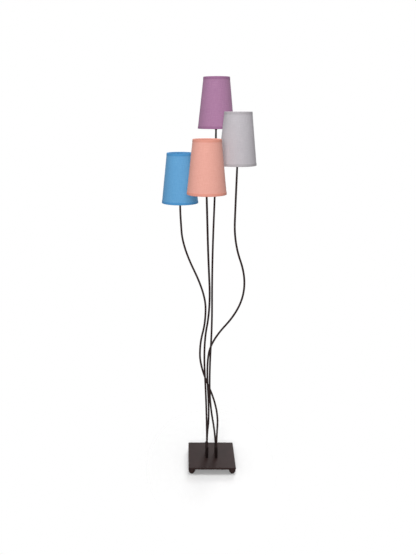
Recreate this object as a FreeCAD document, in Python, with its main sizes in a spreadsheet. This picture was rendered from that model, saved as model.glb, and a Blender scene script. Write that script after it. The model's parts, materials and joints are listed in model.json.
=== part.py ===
import FreeCAD, Part
import math
import os
import Sketcher

# Tree floor lamp: a square steel plate on four ball feet carries four bent arms of steel
# tube, and each arm ends in an upright lampholder under its own fabric shade.
# Frame: Z up, floor at Z = 0, origin under the middle of the plate, +Y away from the
# viewer, +X to the right. All lengths are millimetres.

SIZES = [
    # the base
    ("plate_width", 200),
    ("plate_thick", 8),
    ("plate_corner", 2.5),
    ("plate_edge", 0.8),
    ("foot_height", 23.5),
    ("foot_flat", 13.3),
    ("foot_inset", 14),
    ("glide_diameter", 12),
    ("glide_thick", 1.5),
    ("stud_diameter", 6),
    ("stud_in_plate", 5),
    ("stud_in_foot", 12),
    ("fit_clearance", 0.1),
    # the arms, the leads in them and the sockets that hold them in the plate
    ("arm_diameter", 8),
    ("lead_diameter", 4.2),
    ("lead_clear", 0.5),
    ("joint_gap", 0.3),
    ("socket_spacing", 40),
    ("spigot_wall", 1),
    ("spigot_lip", 1.5),
    ("spigot_past", 2.5),
    ("collar_step", 1.25),
    ("collar_height", 52),
    ("collar_round", 1.2),
    ("nut_flats", 15),
    ("nut_height", 4.5),
    ("washer_diameter", 19),
    ("washer_thick", 1.5),
    # the wiring space under the plate
    ("cover_width", 98),
    ("cover_height", 21),
    ("cover_wall", 1.5),
    ("cover_round", 6),
    ("post_diameter", 8),
    ("post_sink", 0.8),
    ("screw_diameter", 3.5),
    ("screw_depth", 5),
    ("screw_head", 7),
    ("block_ways", 5),
    ("block_clear", 2),
    ("block_end", 7),
    ("block_screw", 3.6),
    ("block_screw_depth", 6),
    ("block_screw_place", 4.5),
    ("block_peg", 3),
    ("block_peg_length", 4),
    ("lead_in_block", 4),
    ("gland_clear", 1),
    ("gland_step", 2),
    ("gland_flange", 5),
    ("gland_nose", 9),
    ("gland_nose_step", 1),
    ("gland_bore", 7),
    ("gland_nut_thick", 4),
    ("gland_thread_length", 7),
    ("earth_offset", 34),
    ("earth_thread", 4),
    ("earth_depth", 5),
    ("earth_head", 9),
    ("earth_head_thick", 3.2),
    # the heads
    ("neck_start", 2),
    ("neck_rim", 0.7),
    ("neck_step", 1),
    ("neck_taper", 6),
    ("neck_height", 21),
    ("neck_spigot", 8),
    ("holder_base", 19),
    ("holder_diameter", 25),
    ("holder_taper", 8),
    ("holder_shoulder", 30),
    ("shoulder_step", 2),
    ("shoulder_thick", 2),
    ("thread_step", 1.5),
    ("holder_height", 50),
    ("lamp_thread", 14),
    ("lamp_depth", 24),
    ("ring_wall", 2),
    ("ring_rim", 3),
    ("ring_height", 8),
    ("ring_flange", 3),
    ("cap_proud", 1),
    ("cap_rim", 0.5),
    ("contact_diameter", 5),
    ("contact_height", 1.5),
    ("contact_slope", 1.5),
    ("bulb_diameter", 45),
    ("bulb_height", 60),
    ("bulb_wall", 1),
    # the shades
    ("shade_bottom", 147),
    ("shade_top", 105),
    ("shade_height", 196),
    ("shade_wall", 1.2),
    ("shade_clear", 8),
    ("hem_height", 9),
    ("hem_thick", 0.5),
    ("wire_diameter", 3),
    ("spoke_diameter", 2.6),
    ("spoke_count", 3),
    ("carrier_rim", 1.5),
    ("carrier_thick", 1.6),
    # where each neck joint stands: right of, behind and above the middle of the plate's top
    ("purple_right", 10),
    ("purple_back", 160),
    ("purple_up", 1374),
    ("grey_right", 85),
    ("grey_back", -2),
    ("grey_up", 1243),
    ("salmon_right", -34),
    ("salmon_back", -118),
    ("salmon_up", 1149),
    ("blue_right", -134),
    ("blue_back", 86),
    ("blue_up", 1087),
]

# Sizes and places that pieces share, each worked out from the ones above.
FITS = [
    # heights in the base, up from the floor
    ("underside", "size.glide_thick + size.foot_height"),
    ("plate_top", "underside + size.plate_thick"),
    ("spigot_below", "size.washer_thick + size.nut_height + size.spigot_past"),
    ("spigot_end", "underside - spigot_below"),
    ("arm_seat", "spigot_end + size.spigot_lip"),
    ("cover_floor", "underside - size.cover_height"),
    ("gland_level", "cover_floor + size.cover_height / 2"),
    ("block_height", "size.cover_height - size.cover_wall - size.block_clear"),
    ("block_floor", "underside - block_height"),
    ("lead_level", "(spigot_end + cover_floor + size.cover_wall) / 2"),
    # places in the base, out from its middle
    ("plate_half", "size.plate_width / 2"),
    ("foot_place", "plate_half - size.foot_inset"),
    ("socket_place", "size.socket_spacing / 2"),
    ("cover_half", "size.cover_width / 2"),
    ("cover_inner", "cover_half - size.cover_wall"),
    ("post_place", "cover_inner - size.post_diameter / 2 + size.post_sink"),
    ("block_half", "socket_place - size.washer_diameter / 2 - size.block_clear"),
    ("block_pitch", "size.socket_spacing / (size.block_ways - 1)"),
    ("block_reach", "socket_place + size.block_end"),
    ("peg_place", "block_pitch * (size.block_ways - 2) / 2"),
    # diameters
    ("foot_ball", "sqrt(size.foot_height^2 + size.foot_flat^2)"),
    ("arm_bore", "size.lead_diameter + 2 * size.lead_clear"),
    ("cup_ball", "size.arm_diameter + 2 * size.joint_gap"),
    ("arm_hole", "size.arm_diameter + size.fit_clearance"),
    ("spigot_diameter", "size.arm_diameter + 2 * size.spigot_wall"),
    ("spigot_hole", "spigot_diameter + size.fit_clearance"),
    ("collar_diameter", "spigot_diameter + 2 * size.collar_step"),
    ("stud_hole", "size.stud_diameter + size.fit_clearance"),
    ("screw_hole", "size.screw_diameter + size.fit_clearance"),
    ("earth_hole", "size.earth_thread + size.fit_clearance"),
    ("peg_hole", "size.block_peg + size.fit_clearance"),
    ("block_hole", "size.lead_diameter + 2 * size.fit_clearance"),
    ("gland_flats", "size.cover_height - 2 * (size.cover_wall + size.gland_clear)"),
    ("gland_thread", "gland_flats - 2 * size.gland_step"),
    ("gland_hole", "gland_thread + size.fit_clearance"),
    ("neck_diameter", "spigot_diameter + 2 * size.neck_step"),
    ("neck_mouth", "size.arm_diameter + 2 * size.neck_rim"),
    ("holder_thread", "size.holder_diameter + 2 * size.thread_step"),
    ("shoulder_diameter", "holder_thread + 2 * size.shoulder_step"),
    ("ring_hole", "holder_thread + size.fit_clearance"),
    ("ring_collar", "holder_thread + 2 * size.ring_wall"),
    ("ring_diameter", "ring_collar + 2 * size.ring_rim"),
    ("carrier_hole", "holder_thread + 2 * size.fit_clearance"),
    ("carrier_diameter", "ring_diameter + 2 * size.carrier_rim"),
    ("lamp_hole", "size.lamp_thread + size.fit_clearance"),
    ("cap_diameter", "size.lamp_thread - size.fit_clearance"),
    ("bulb_neck", "size.lamp_thread - 2 * size.cap_rim"),
    # heights in a head, up from its neck joint, and in a shade, up from its lower rim
    ("shoulder_top", "size.holder_shoulder + size.shoulder_thick"),
    ("ring_rise", "size.neck_height + shoulder_top + size.carrier_thick"),
    ("lamp_seat", "size.holder_height - size.lamp_depth"),
    ("lamp_rise", "size.neck_height + lamp_seat"),
    ("cap_height", "size.lamp_depth + size.cap_proud"),
    ("glass_rise", "lamp_rise + cap_height"),
    ("carrier_rise", "ring_rise - size.carrier_thick - size.shade_clear"),
    # the shade's lean, and where the wire in each hem runs
    ("shade_slope", "(size.shade_bottom - size.shade_top) / 2 / size.shade_height"),
    ("wire_inset", "size.hem_thick + size.shade_wall + size.wire_diameter / 2 + size.fit_clearance"),
    ("low_wire", "size.shade_bottom / 2 - shade_slope * size.wire_diameter - wire_inset"),
    ("high_wire", "size.shade_top / 2 - wire_inset"),
]

document = FreeCAD.newDocument("tree_floor_lamp")


def fill(name, rows):
    """Writes a sheet: names in the first column, numbers or formulas in the second."""
    sheet = document.addObject("Spreadsheet::Sheet", name)
    for row, (alias, content) in enumerate(rows, start=1):
        sheet.set("A%d" % row, alias)
        sheet.set("B%d" % row, str(content))
        sheet.setAlias("B%d" % row, alias)
        document.recompute()
    return sheet


size_sheet = fill("size", SIZES)
fit_sheet = fill("fit", [(alias, "=" + formula) for alias, formula in FITS])


def size(alias):
    return float(size_sheet.get(alias))


def fit(alias):
    return float(fit_sheet.get(alias))


CORNERS = [(-1, -1), (1, -1), (-1, 1), (1, 1)]
UP = FreeCAD.Vector(0, 0, 1)
TO_BACK = FreeCAD.Rotation(FreeCAD.Vector(1, 0, 0), -90)
NEAR = 1e-6


# ---------------------------------------------------------------- ways of making a piece


def place(x, y, z, turn=None):
    return FreeCAD.Placement(FreeCAD.Vector(x, y, z), turn or FreeCAD.Rotation())


def bind(thing, **sizes):
    """Ties properties of a document object to expressions on the sheets."""
    for name, text in sizes.items():
        thing.setExpression(name, text)
    return thing


def lift(thing, height):
    """Ties a tool's height above its own piece's zero to an expression."""
    thing.setExpression("Placement.Base.z", height)
    return thing


def new_body(label):
    body = document.addObject("PartDesign::Body", label)
    body.Label = label
    return body


def new_sketch(body, role, height=None):
    sketch = body.newObject("Sketcher::SketchObject", body.Label + "_sketch")
    plane = [f for f in body.Origin.OriginFeatures if f.Role == role][0]
    sketch.AttachmentSupport = [(plane, "")]
    sketch.MapMode = "FlatFace"
    if height:
        sketch.setExpression("AttachmentOffset.Base.z", height)
    sketch.Visibility = False
    return sketch


def pin_point(sketch, geometry, point, across, along):
    """Holds a point of a sketch at two sizes, each an expression."""
    for kind, text, axis in (("DistanceX", across, -2), ("DistanceY", along, -1)):
        if text == "0":
            sketch.addConstraint(Sketcher.Constraint("PointOnObject", geometry, point, axis))
            continue
        rough = 1.0 + geometry
        index = sketch.addConstraint(Sketcher.Constraint(kind, -1, 1, geometry, point, rough))
        sketch.setExpression("Constraints[%d]" % index, text)


def draw_outline(sketch, corners):
    """Draws a closed outline of straight lines through corners given as expressions."""
    count = len(corners)
    rough = [FreeCAD.Vector(10 + 5 * math.cos(i), 10 + i, 0) for i in range(count)]
    for i in range(count):
        sketch.addGeometry(Part.LineSegment(rough[i], rough[(i + 1) % count]), False)
    for i in range(count):
        sketch.addConstraint(Sketcher.Constraint("Coincident", i, 2, (i + 1) % count, 1))
    for i, (across, along) in enumerate(corners):
        pin_point(sketch, i, 1, across, along)


def draw_circles(sketch, spots, diameter):
    """Draws like circles round spots given as expressions."""
    for i, (across, along) in enumerate(spots):
        rough = FreeCAD.Vector(10 + i, 10 + 2 * i, 0)
        sketch.addGeometry(Part.Circle(rough, UP, 1), False)
        pin_point(sketch, i, 3, across, along)
        index = sketch.addConstraint(Sketcher.Constraint("Diameter", i, 2.0))
        sketch.setExpression("Constraints[%d]" % index, diameter)


def rectangle(across, along):
    """The corners of a rectangle about the middle, from half its width and depth."""
    signs = (("-", "-"), ("", "-"), ("", ""), ("-", ""))
    return [(a + across, b + along) for a, b in signs]


def pad(body, sketch, length):
    step = body.newObject("PartDesign::Pad", body.Label + "_pad")
    step.Profile = sketch
    return bind(step, Length=length)


def pocket(body, sketch, length):
    """Cuts a sketch into a body along the sketch's own normal, and sees that it did."""
    document.recompute()
    before = body.Shape.Volume
    step = body.newObject("PartDesign::Pocket", body.Label + "_pocket")
    step.Profile = sketch
    step.Reversed = True
    bind(step, Length=length)
    document.recompute()
    if body.Shape.Volume > before * (1 - NEAR):
        raise ValueError("a pocket in %s cut nothing" % body.Label)


def drill(body, spots, diameter, depth):
    """Round holes up into a body from its own Z = 0."""
    sketch = new_sketch(body, "XY_Plane")
    draw_circles(sketch, spots, diameter)
    pocket(body, sketch, depth)


def turned(label, corners):
    """A piece turned about its own Z axis from an outline of radius and height."""
    body = new_body(label)
    sketch = new_sketch(body, "XZ_Plane")
    draw_outline(sketch, corners)
    turn = body.newObject("PartDesign::Revolution", label + "_turn")
    turn.Profile = sketch
    turn.ReferenceAxis = (sketch, ["V_Axis"])
    turn.Angle = 360
    return body


def upright(edge):
    ends = [v.Point for v in edge.Vertexes]
    return len(ends) == 2 and (ends[0] - ends[1]).cross(UP).Length < NEAR


def round_edges(body, base, wanted, radius):
    """Rounds the edges of a step's shape that a test picks out."""
    document.recompute()
    names = ["Edge%d" % i for i, edge in enumerate(base.Shape.Edges, start=1) if wanted(edge)]
    step = body.newObject("PartDesign::Fillet", body.Label + "_round")
    step.Base = (base, names)
    return bind(step, Radius=radius)


def cylinder(label, radius, height):
    return bind(document.addObject("Part::Cylinder", label), Radius=radius, Height=height)


def hexagon(label, flats, height):
    prism = document.addObject("Part::Prism", label)
    prism.Polygon = 6
    return bind(prism, Circumradius="%s / 2 / cos(30)" % flats, Height=height)


def cut(label, base, tool):
    piece = document.addObject("Part::Cut", label)
    piece.Base = base
    piece.Tool = tool
    piece.Label = label
    return piece


def group(label, members):
    """Like pieces that share one name, each a solid of its own."""
    piece = document.addObject("Part::Compound", label)
    piece.Links = members
    piece.Label = label
    return piece


def shaped(label, shape):
    """A piece whose shape no ordinary step makes, such as a bent tube."""
    piece = document.addObject("Part::Feature", label)
    piece.Label = label
    piece.Shape = shape
    return piece


# ------------------------------------------------------------------------------ the base


def base_plate():
    """A flat steel plate with fine rounded edges, drilled for all that it carries."""
    body = new_body("base_plate")
    sketch = new_sketch(body, "XY_Plane")
    draw_outline(sketch, rectangle("fit.plate_half", "fit.plate_half"))
    slab = pad(body, sketch, "size.plate_thick")
    corners = round_edges(body, slab, upright, "size.plate_corner")

    def top_rim(edge):
        return all(abs(v.Z - size("plate_thick")) < NEAR for v in edge.Vertexes)

    round_edges(body, corners, top_rim, "size.plate_edge")
    pegs = [("-fit.peg_place", "0"), ("fit.peg_place", "0")]
    sockets = rectangle("fit.socket_place", "fit.socket_place")
    drill(body, sockets, "fit.spigot_hole", "size.plate_thick")
    drill(body, rectangle("fit.foot_place", "fit.foot_place"), "fit.stud_hole", "size.stud_in_plate")
    drill(body, rectangle("fit.post_place", "fit.post_place"), "fit.screw_hole", "size.screw_depth")
    drill(body, pegs, "fit.peg_hole", "size.block_peg_length")
    drill(body, [("0", "-size.earth_offset")], "fit.earth_hole", "size.earth_depth")
    body.Placement = place(0, 0, fit("underside"))
    return body


def foot(name, side, depth):
    """A turned steel ball with a flat at its top and bottom, drilled for its stud."""
    lean = "atan(size.foot_height / size.foot_flat)"
    ball = document.addObject("Part::Sphere", name + "_ball")
    bind(ball, Radius="fit.foot_ball / 2", Angle1="-" + lean, Angle2=lean)
    hole = cylinder(name + "_hole", "fit.stud_hole / 2", "size.stud_in_foot")
    lift(hole, "size.foot_height / 2 - size.stud_in_foot")
    piece = cut(name, ball, hole)
    middle = fit("underside") - size("foot_height") / 2
    piece.Placement = place(side * fit("foot_place"), depth * fit("foot_place"), middle)
    return piece


def base_pieces():
    made = [base_plate()]
    names = ["foot_front_left", "foot_front_right", "foot_back_left", "foot_back_right"]
    studs, glides = [], []
    for name, (side, depth) in zip(names, CORNERS):
        made.append(foot(name, side, depth))
        across, along = side * fit("foot_place"), depth * fit("foot_place")
        length = "size.stud_in_foot + size.stud_in_plate"
        stud = cylinder(name + "_stud", "size.stud_diameter / 2", length)
        stud.Placement = place(across, along, fit("underside") - size("stud_in_foot"))
        glide = cylinder(name + "_glide", "size.glide_diameter / 2", "size.glide_thick")
        glide.Placement = place(across, along, 0)
        studs.append(stud)
        glides.append(glide)
    return made + [group("foot_studs", studs), group("foot_glides", glides)]


# ------------------------------------------------- the sockets that hold the arms upright


def socket_collar(name, side, depth):
    """A turned steel collar on the plate, with a threaded spigot down through it."""
    lip = "fit.arm_bore / 2"
    bore = "fit.arm_hole / 2"
    spigot = "fit.spigot_diameter / 2"
    outer = "fit.collar_diameter / 2"
    seat = "fit.spigot_below + size.plate_thick"
    top = seat + " + size.collar_height"
    corners = [
        (lip, "0"),
        (spigot, "0"),
        (spigot, seat),
        (outer, seat),
        (outer, top + " - size.collar_round"),
        (outer + " - size.collar_round", top),
        (bore, top),
        (bore, "size.spigot_lip"),
        (lip, "size.spigot_lip"),
    ]
    piece = turned(name, corners)
    piece.Placement = place(side * fit("socket_place"), depth * fit("socket_place"), fit("spigot_end"))
    return piece


def socket_fasteners():
    """A flat washer and a thin hexagon nut on each spigot, under the plate."""
    nuts, washers = [], []
    washer_face = fit("underside") - size("washer_thick")
    for i, (side, depth) in enumerate(CORNERS, start=1):
        across, along = side * fit("socket_place"), depth * fit("socket_place")
        block = hexagon("arm_nut_block_%d" % i, "size.nut_flats", "size.nut_height")
        bore = cylinder("arm_nut_bore_%d" % i, "fit.spigot_hole / 2", "size.nut_height")
        nut = cut("arm_nut_%d" % i, block, bore)
        nut.Placement = place(across, along, washer_face - size("nut_height"))
        disc = cylinder("arm_washer_disc_%d" % i, "size.washer_diameter / 2", "size.washer_thick")
        hole = cylinder("arm_washer_hole_%d" % i, "fit.spigot_hole / 2", "size.washer_thick")
        washer = cut("arm_washer_%d" % i, disc, hole)
        washer.Placement = place(across, along, washer_face)
        nuts.append(nut)
        washers.append(washer)
    return [group("arm_nuts", nuts), group("arm_washers", washers)]


# ------------------------------------------------------ the wiring space under the plate


def wiring_cover():
    """An open steel tray with a screw post in each corner and a hole for the gland."""
    body = new_body("wiring_tray")
    sketch = new_sketch(body, "XY_Plane")
    draw_outline(sketch, rectangle("fit.cover_half", "fit.cover_half"))
    block = pad(body, sketch, "size.cover_height")
    round_edges(body, block, upright, "size.cover_round")
    well = new_sketch(body, "XY_Plane", "size.cover_wall")
    draw_outline(well, rectangle("fit.cover_inner", "fit.cover_inner"))
    pocket(body, well, "size.cover_height")
    corners = rectangle("fit.post_place", "fit.post_place")
    posts = new_sketch(body, "XY_Plane")
    draw_circles(posts, corners, "size.post_diameter")
    pad(body, posts, "size.cover_height")
    drill(body, corners, "fit.screw_hole", "size.cover_height")
    gland = new_sketch(body, "XZ_Plane", "-fit.cover_half")
    draw_circles(gland, [("0", "size.cover_height / 2")], "fit.gland_hole")
    pocket(body, gland, "2 * size.cover_wall")
    sinks = []
    for i, (side, depth) in enumerate(CORNERS, start=1):
        sink = document.addObject("Part::Cone", "countersink_%d" % i)
        bind(sink, Radius1="(size.screw_head + size.fit_clearance) / 2", Radius2="fit.screw_hole / 2")
        bind(sink, Height="(size.screw_head - size.screw_diameter) / 2")
        sink.Placement = place(side * fit("post_place"), depth * fit("post_place"), 0)
        sinks.append(sink)
    piece = cut("wiring_cover", body, group("countersinks", sinks))
    piece.Placement = place(0, 0, fit("cover_floor"))
    return piece


def cover_screws():
    """Countersunk screws, flush with the tray, that run up into the plate."""
    shank = "size.screw_diameter / 2"
    top = "size.cover_height + size.screw_depth"
    cone = "(size.screw_head - size.screw_diameter) / 2"
    corners = [("0", "0"), ("size.screw_head / 2", "0"), (shank, cone), (shank, top), ("0", top)]
    screws = []
    for i, (side, depth) in enumerate(CORNERS, start=1):
        screw = turned("cover_screw_%d" % i, corners)
        across, along = side * fit("post_place"), depth * fit("post_place")
        screw.Placement = place(across, along, fit("cover_floor"))
        screws.append(screw)
    return group("cover_screws", screws)


def terminal_block():
    """A moulded strip of screw terminals on two pegs, wires through it, screws below."""
    body = new_body("terminal_block")
    sketch = new_sketch(body, "XY_Plane")
    draw_outline(sketch, rectangle("fit.block_reach", "fit.block_half"))
    pad(body, sketch, "fit.block_height")
    pegs = new_sketch(body, "XY_Plane", "fit.block_height")
    draw_circles(pegs, [("-fit.peg_place", "0"), ("fit.peg_place", "0")], "size.block_peg")
    pad(body, pegs, "size.block_peg_length")
    ways = range(int(size("block_ways")))
    across = ["(%d - (size.block_ways - 1) / 2) * fit.block_pitch" % way for way in ways]
    wires = new_sketch(body, "XZ_Plane", "-fit.block_half")
    wire_height = "fit.lead_level - fit.block_floor"
    draw_circles(wires, [(spot, wire_height) for spot in across], "fit.block_hole")
    pocket(body, wires, "2 * fit.block_half")
    rows = ("-size.block_screw_place", "size.block_screw_place")
    wells = [(spot, row) for spot in across for row in rows]
    drill(body, wells, "size.block_screw", "size.block_screw_depth")
    body.Placement = place(0, 0, fit("block_floor"))
    return body


def earth_screw():
    """A pan-headed screw into the plate, where the earth wire is fixed."""
    head = "size.earth_head / 2"
    shank = "size.earth_thread / 2"
    thick = "size.earth_head_thick"
    corners = [
        ("0", "0"),
        (head + " - size.earth_head_thick / 4", "0"),
        (head, "size.earth_head_thick / 4"),
        (head, thick),
        (shank, thick),
        (shank, thick + " + size.earth_depth"),
        ("0", thick + " + size.earth_depth"),
    ]
    piece = turned("earth_screw", corners)
    piece.Placement = place(0, -size("earth_offset"), fit("underside") - size("earth_head_thick"))
    return piece


def cord_gland():
    """The inlet that the cord would pass: hexagon, tapered nose and thread, all bored."""
    stem_radius = "fit.gland_thread / 2"
    flange = hexagon("gland_flange", "fit.gland_flats", "size.gland_flange")
    nose = document.addObject("Part::Cone", "gland_nose")
    bind(nose, Radius1=stem_radius + " + size.gland_nose_step", Radius2=stem_radius)
    bind(nose, Height="size.gland_nose")
    lift(nose, "size.gland_flange")
    stem = cylinder("gland_stem", stem_radius, "size.gland_thread_length")
    lift(stem, "-size.gland_thread_length")
    solid = document.addObject("Part::MultiFuse", "gland_solid")
    solid.Shapes = [flange, nose, stem]
    length = "size.gland_thread_length + size.gland_flange + size.gland_nose"
    bore = cylinder("gland_bore_tool", "size.gland_bore / 2", length)
    lift(bore, "-size.gland_thread_length")
    piece = cut("cord_gland", solid, bore)
    piece.Placement = place(0, fit("cover_half"), fit("gland_level"), TO_BACK)
    return piece


def gland_nut():
    """The thin nut that holds the gland from inside the tray."""
    block = hexagon("gland_nut_block", "fit.gland_flats", "size.gland_nut_thick")
    bore = cylinder("gland_nut_bore", "fit.gland_hole / 2", "size.gland_nut_thick")
    piece = cut("gland_nut", block, bore)
    depth = fit("cover_inner") - size("gland_nut_thick")
    piece.Placement = place(0, depth, fit("gland_level"), TO_BACK)
    return piece


# ------------------------------------------------------------------ the arms and the leads

# Each arm runs through these points, given as right, back and up. The low ones are
# measured from the arm's own spot on the plate's top, the high ones from its neck joint,
# and its bend joint is halfway between the last low point and the first high one.
ARMS = {
    "blue": {
        "corner": (1, -1),
        "low": [(0, 0, 76), (7, -4, 236), (-72, -7, 428), (-74, 2, 529), (-50, 20, 617)],
        "high": [(103, -70, -355), (10, -20, -170), (1, -3, -45)],
    },
    "salmon": {
        "corner": (-1, -1),
        "low": [(0, 0, 76), (-5, 11, 267), (-19, 8, 522), (8, -14, 689)],
        "high": [(8, 18, -221), (3, 4, -81)],
    },
    "purple": {
        "corner": (1, 1),
        "low": [(0, 0, 70), (-29, -3, 240), (-31, -2, 407), (-22, 14, 587)],
        "high": [(-13, -98, -607), (-10, -60, -447), (-1, -15, -217), (0, -1, -87)],
    },
    "grey": {
        "corner": (-1, 1),
        "low": [(0, 0, 76), (10, -11, 190), (-5, -16, 422), (14, -14, 532), (128, -18, 667)],
        "high": [(48, 1, -442), (-6, -2, -292), (-3, -2, -127)],
    },
}
# The share of a run between two points that the arc at either of them may take up, the
# share at a collar or a neck, and how far a tube's volume may stray from its section.
ARC_SHARE = 0.46
END_SHARE = 0.85
VOLUME_SLACK = 0.002


def bent_path(points, first_reach, last_reach):
    """Straight runs joined by the largest tangent arcs that their share of a run allows.

    The reaches say how far the first and last arcs may come back along the end runs.
    """
    runs = [(b - a).Length for a, b in zip(points, points[1:])]
    reach = [ARC_SHARE * run for run in runs]
    reach[0], reach[-1] = first_reach, last_reach
    edges, pen = [], points[0]
    for i in range(1, len(points) - 1):
        before = (points[i] - points[i - 1]).normalize()
        after = (points[i + 1] - points[i]).normalize()
        turn = before.getAngle(after)
        back = min(reach[i - 1], reach[i])
        radius = back / math.tan(turn / 2)
        start, end = points[i] - before * back, points[i] + after * back
        inward = (after - before).normalize()
        middle = points[i] + inward * (radius / math.cos(turn / 2) - radius)
        edges.append(Part.LineSegment(pen, start).toShape())
        edges.append(Part.Arc(start, middle, end).toShape())
        pen = end
    edges.append(Part.LineSegment(pen, points[-1]).toShape())
    return Part.Wire(edges)


def tube(path, diameter):
    """A round bar along a path, checked against its section times its length."""
    start = path.OrderedEdges[0]
    along = start.tangentAt(start.FirstParameter)
    ring = Part.Wire([Part.Circle(start.Vertexes[0].Point, along, diameter / 2).toShape()])
    bar = path.makePipeShell([ring], True, False)
    expected = math.pi * diameter**2 / 4 * path.Length
    if abs(bar.Volume - expected) > expected * VOLUME_SLACK:
        raise ValueError("a tube's volume is not its section times its length")
    return bar


def half_ball(centre, along, radius):
    """The half of a ball that lies behind its centre as seen along a direction."""
    return Part.makeSphere(radius, centre, along, -90, 0, 360)


def with_ends(path, start, end):
    """A path whose two end runs are taken on, or cut back, to other end points."""
    arcs, corners = path.OrderedEdges[1:-1], [v.Point for v in path.OrderedVertexes]
    first = Part.LineSegment(start, corners[1]).toShape()
    last = Part.LineSegment(corners[-2], end).toShape()
    return Part.Wire([first] + arcs + [last])


class Arm:
    """Where one arm runs: its seat, its bend joint, its neck joint and its two paths."""

    def __init__(self, colour):
        plan = ARMS[colour]
        right, back = (side * fit("socket_place") for side in plan["corner"])
        foot_point = FreeCAD.Vector(right, back, fit("plate_top"))
        reach = [size(colour + "_" + way) for way in ("right", "back", "up")]
        self.colour = colour
        self.seat = FreeCAD.Vector(right, back, fit("arm_seat"))
        self.neck = FreeCAD.Vector(0, 0, fit("plate_top")) + FreeCAD.Vector(*reach)
        low = [foot_point + FreeCAD.Vector(*spot) for spot in plan["low"]]
        high = [self.neck + FreeCAD.Vector(*spot) for spot in plan["high"]]
        self.bend = (low[-1] + high[0]) * 0.5
        self.along = (high[0] - low[-1]).normalize()
        above_collar = low[0].z - fit("plate_top") - size("collar_height")
        joint_reach = ARC_SHARE * (high[0] - low[-1]).Length
        neck_reach = END_SHARE * (self.neck - high[-1]).Length
        low_points = [self.seat] + low + [self.bend]
        high_points = [self.bend] + high + [self.neck]
        self.low_path = bent_path(low_points, END_SHARE * above_collar, joint_reach)
        self.high_path = bent_path(high_points, joint_reach, neck_reach)


def lower_arm(arm):
    """The part of an arm from its socket to its bend joint, which ends in a cup."""
    bar = tube(arm.low_path, size("arm_diameter"))
    cup = Part.makeSphere(fit("cup_ball") / 2, arm.bend)
    bore = tube(arm.low_path, fit("arm_bore"))
    return shaped("arm_lower_" + arm.colour, bar.cut([cup, bore]))


def upper_arm(arm):
    """The part of an arm from its bend joint to its neck joint, a ball at each end."""
    radius = size("arm_diameter") / 2
    bar = tube(arm.high_path, size("arm_diameter"))
    balls = [half_ball(arm.bend, arm.along, radius), half_ball(arm.neck, -UP, radius)]
    past = size("arm_diameter")
    through = with_ends(arm.high_path, arm.bend - arm.along * past, arm.neck + UP * past)
    bore = tube(through, fit("arm_bore"))
    return shaped("arm_upper_" + arm.colour, bar.fuse(balls).removeSplitter().cut(bore))


def lower_lead(arm):
    """A lead from its hole in the terminal block, under its socket and up the arm."""
    side = math.copysign(1, arm.seat.y)
    toward = FreeCAD.Vector(0, side, 0)
    level = fit("lead_level")
    start = FreeCAD.Vector(arm.seat.x, side * (fit("block_half") - size("lead_in_block")), level)
    under = FreeCAD.Vector(arm.seat.x, arm.seat.y, level)
    radius = fit("spigot_end") - level
    centre = under - toward * radius + UP * radius
    middle = centre + (toward - UP).normalize() * radius
    first, last = under - toward * radius, under + UP * radius
    end = arm.bend - arm.along * fit("cup_ball") / 2
    turn = [Part.LineSegment(start, first).toShape(), Part.Arc(first, middle, last).toShape()]
    path = Part.Wire(turn + with_ends(arm.low_path, last, end).OrderedEdges)
    return shaped("lead_lower_" + arm.colour, tube(path, size("lead_diameter")))


def upper_lead(arm):
    """The rest of the lead, from just inside one ball of the upper arm to the other."""
    ball, lead = size("arm_diameter") / 2, size("lead_diameter") / 2
    inside = math.sqrt(ball**2 - lead**2) - size("fit_clearance")
    path = with_ends(arm.high_path, arm.bend - arm.along * inside, arm.neck + UP * inside)
    return shaped("lead_upper_" + arm.colour, tube(path, size("lead_diameter")))


# ------------------------------------------------------------------------------ the heads


def neck(colour):
    """A turned ferrule: a cup for the arm's ball below, a thread for the holder above."""
    bore = "fit.arm_bore / 2"
    outer = "fit.neck_diameter / 2"
    spigot = "fit.spigot_diameter / 2"
    top = "size.neck_height + size.neck_spigot"
    corners = [
        (bore, "size.neck_start"),
        ("fit.neck_mouth / 2", "size.neck_start"),
        (outer, "size.neck_start + size.neck_taper"),
        (outer, "size.neck_height"),
        (spigot, "size.neck_height"),
        (spigot, top),
        (bore, top),
    ]
    body = turned("neck_" + colour, corners)
    cup = body.newObject("PartDesign::SubtractiveSphere", "neck_cup_" + colour)
    bind(cup, Radius="fit.cup_ball / 2")
    return body


def lampholder(colour):
    """A moulded lampholder: tapered cap, barrel, shoulder for the shade, ring thread."""
    spigot = "fit.spigot_hole / 2"
    barrel = "size.holder_diameter / 2"
    shoulder = "fit.shoulder_diameter / 2"
    thread = "fit.holder_thread / 2"
    socket = "fit.lamp_hole / 2"
    wire = "fit.arm_bore / 2"
    corners = [
        (spigot, "0"),
        ("size.holder_base / 2", "0"),
        (barrel, "size.holder_taper"),
        (barrel, "size.holder_shoulder"),
        (shoulder, "size.holder_shoulder"),
        (shoulder, "fit.shoulder_top"),
        (thread, "fit.shoulder_top"),
        (thread, "size.holder_height"),
        (socket, "size.holder_height"),
        (socket, "fit.lamp_seat"),
        (wire, "fit.lamp_seat"),
        (wire, "size.neck_spigot"),
        (spigot, "size.neck_spigot"),
    ]
    return turned("lampholder_" + colour, corners)


def shade_ring(colour):
    """The ring nut that clamps the shade's carrier down on the holder's shoulder."""
    bore = "fit.ring_hole / 2"
    flange = "fit.ring_diameter / 2"
    collar = "fit.ring_collar / 2"
    corners = [
        (bore, "0"),
        (flange, "0"),
        (flange, "size.ring_flange"),
        (collar, "size.ring_flange"),
        (collar, "size.ring_height"),
        (bore, "size.ring_height"),
    ]
    return turned("shade_ring_" + colour, corners)


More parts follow.
